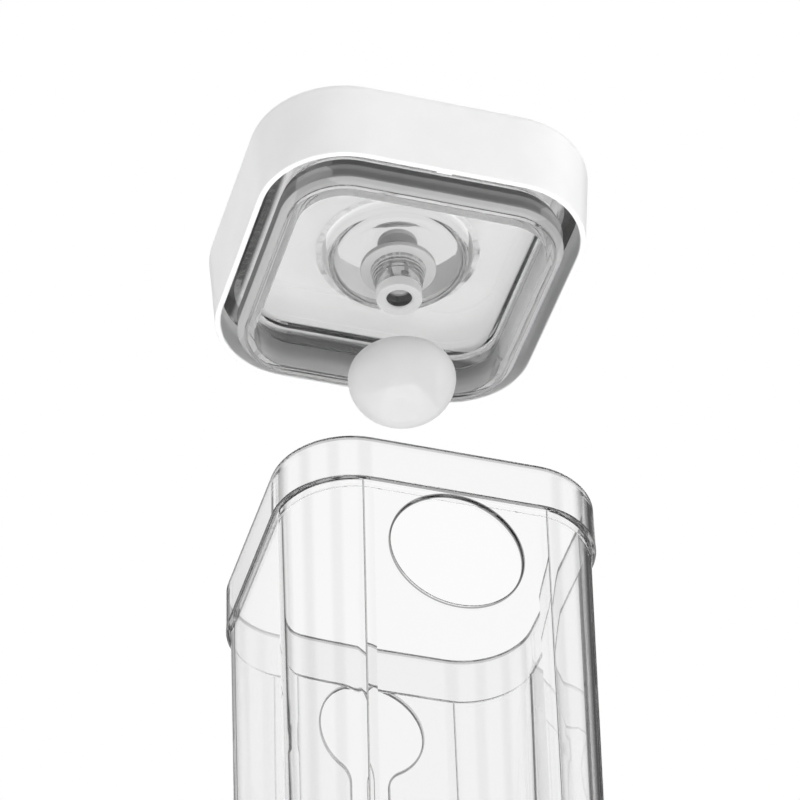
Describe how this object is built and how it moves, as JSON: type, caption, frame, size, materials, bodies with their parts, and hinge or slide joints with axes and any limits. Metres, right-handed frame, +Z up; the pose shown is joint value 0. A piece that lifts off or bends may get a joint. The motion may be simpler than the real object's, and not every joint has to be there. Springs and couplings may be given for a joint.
{
  "type": "vacuum seal canister",
  "caption": "Clear square storage jar with a white push-on vacuum lid: gasketed clear tray, one-way valve with a lift knob, suction spout and pull-off splash cap.",
  "frame": {"origin": "middle of the jar's underside, at the level it stands on", "axes": "+Z up along the jar, the lid and the spout; -Y is the front panel with the plain round recess"},
  "size_m": [0.1164, 0.1164, 0.345],
  "materials": {
    "clear_jar": "clear polished",
    "clear_lid": "clear polished",
    "white_cover": "satin",
    "white_cap": "matte",
    "silicone": "soft translucent",
    "frosted_tip": "frosted"
  },
  "bodies": {
    "jar": {"container": "clear_jar"},
    "lid": {"lid_cover": "white_cover", "inner_lid": "clear_lid", "lid_gasket": "silicone", "spout_washer": "silicone", "valve_housing": "clear_lid", "spout_tip": "frosted_tip", "valve_seat": "frosted_tip"},
    "valve": {"valve_plug": "silicone", "stem_clip": "white_cap", "valve_knob": "white_cap"},
    "cap": {"splash_cap": "white_cap"}
  },
  "joints": [
    {"name": "lid_lift", "type": "slide", "parent": "jar", "child": "lid", "axis": [0, 0, 1], "range_m": [-0.1312, 0]},
    {"name": "valve_lift", "type": "slide", "parent": "lid", "child": "valve", "axis": [0, 0, 1], "range_m": [0, 0.0025]},
    {"name": "cap_plug", "type": "slide", "parent": "lid", "child": "cap", "axis": [0, 0, 1], "range_m": [0, 0.04]}
  ]
}
